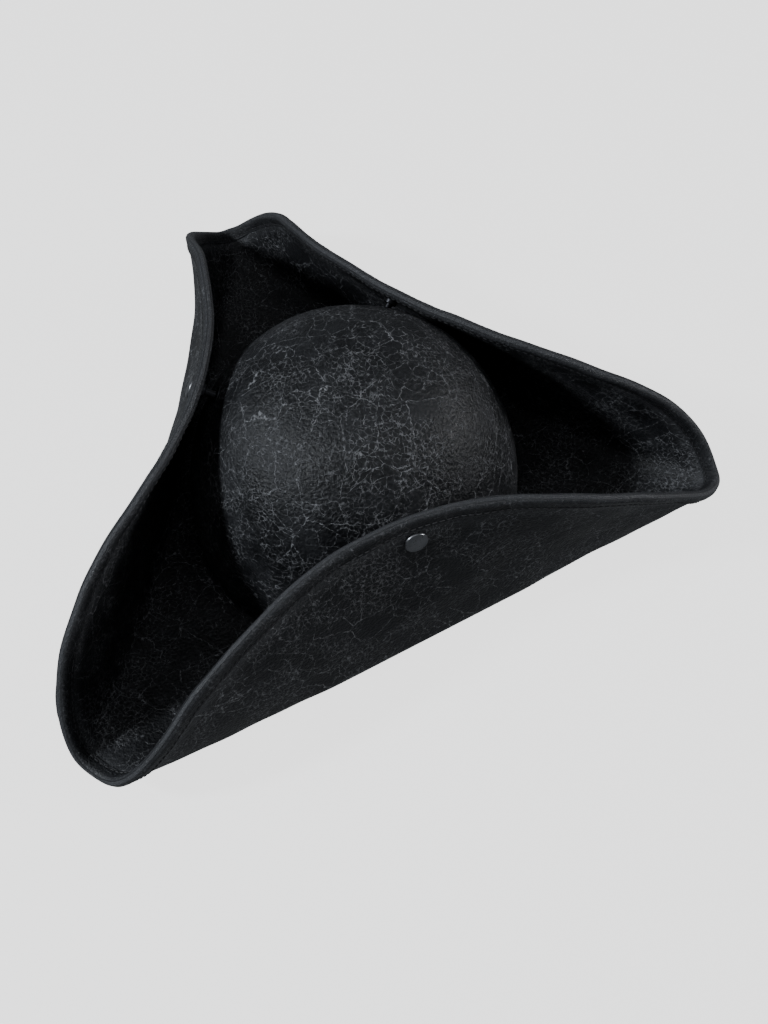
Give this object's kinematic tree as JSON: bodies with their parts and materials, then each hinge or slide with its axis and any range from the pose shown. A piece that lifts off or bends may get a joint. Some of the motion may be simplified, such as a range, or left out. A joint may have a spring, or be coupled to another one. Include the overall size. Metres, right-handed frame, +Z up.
{
  "type": "pirate tricorn hat",
  "caption": "Three-cornered costume hat in black distressed faux suede: a domed crown on a stiffened brim whose three sides snap up against the crown and can be let down.",
  "frame": {"origin": "on the floor, under the middle of the hat's bounding box, the hat standing on its brim as worn", "axes": "+X to the wearer's left, along the hat's width; -Y to the front flap, +Y to the back; +Z up"},
  "size_m": [0.4006, 0.3428, 0.1371],
  "materials": {
    "suede_black": "distressed black faux suede, worn and finely cracked, half matte",
    "stiffener_felt": "pressed grey-black stiffening felt",
    "lining_satin": "smooth black lining",
    "sweatband_twill": "woven black cotton twill",
    "gunmetal": "pressed gunmetal snap, satin"
  },
  "bodies": {
    "hat": {"crown_shell": "suede_black", "crown_lining": "lining_satin", "sweatband": "sweatband_twill", "seam_tape": "sweatband_twill", "brim_top": "suede_black", "brim_core": "stiffener_felt", "brim_under": "suede_black", "edge_tape_corner_front_left": "suede_black", "edge_tape_corner_front_right": "suede_black", "edge_tape_corner_rear": "suede_black", "snap_stud_front": "gunmetal", "snap_back_front": "gunmetal", "snap_stud_right_rear": "gunmetal", "snap_back_right_rear": "gunmetal", "snap_stud_left_rear": "gunmetal", "snap_back_left_rear": "gunmetal"},
    "flap_front": {"flap_front_top": "suede_black", "flap_front_core": "stiffener_felt", "flap_front_under": "suede_black", "edge_tape_front": "suede_black", "snap_cap_front": "gunmetal", "snap_socket_front": "gunmetal"},
    "flap_right_rear": {"flap_right_rear_top": "suede_black", "flap_right_rear_core": "stiffener_felt", "flap_right_rear_under": "suede_black", "edge_tape_right_rear": "suede_black", "snap_cap_right_rear": "gunmetal", "snap_socket_right_rear": "gunmetal"},
    "flap_left_rear": {"flap_left_rear_top": "suede_black", "flap_left_rear_core": "stiffener_felt", "flap_left_rear_under": "suede_black", "edge_tape_left_rear": "suede_black", "snap_cap_left_rear": "gunmetal", "snap_socket_left_rear": "gunmetal"}
  },
  "joints": [
    {"name": "flap_front_bend", "type": "hinge", "parent": "hat", "child": "flap_front", "pos_m": [0.00538, -0.15648, 0.01272], "axis": [0.9994, 0.0349, 0], "range_deg": [0, 70]},
    {"name": "flap_right_rear_bend", "type": "hinge", "parent": "hat", "child": "flap_right_rear", "pos_m": [0.10353, 0.01544, 0.01284], "axis": [-0.4939, 0.8695, 0], "range_deg": [0, 70]},
    {"name": "flap_left_rear_bend", "type": "hinge", "parent": "hat", "child": "flap_left_rear", "pos_m": [-0.08674, 0.01891, 0.01264], "axis": [-0.5721, -0.8202, 0], "range_deg": [0, 70]}
  ]
}
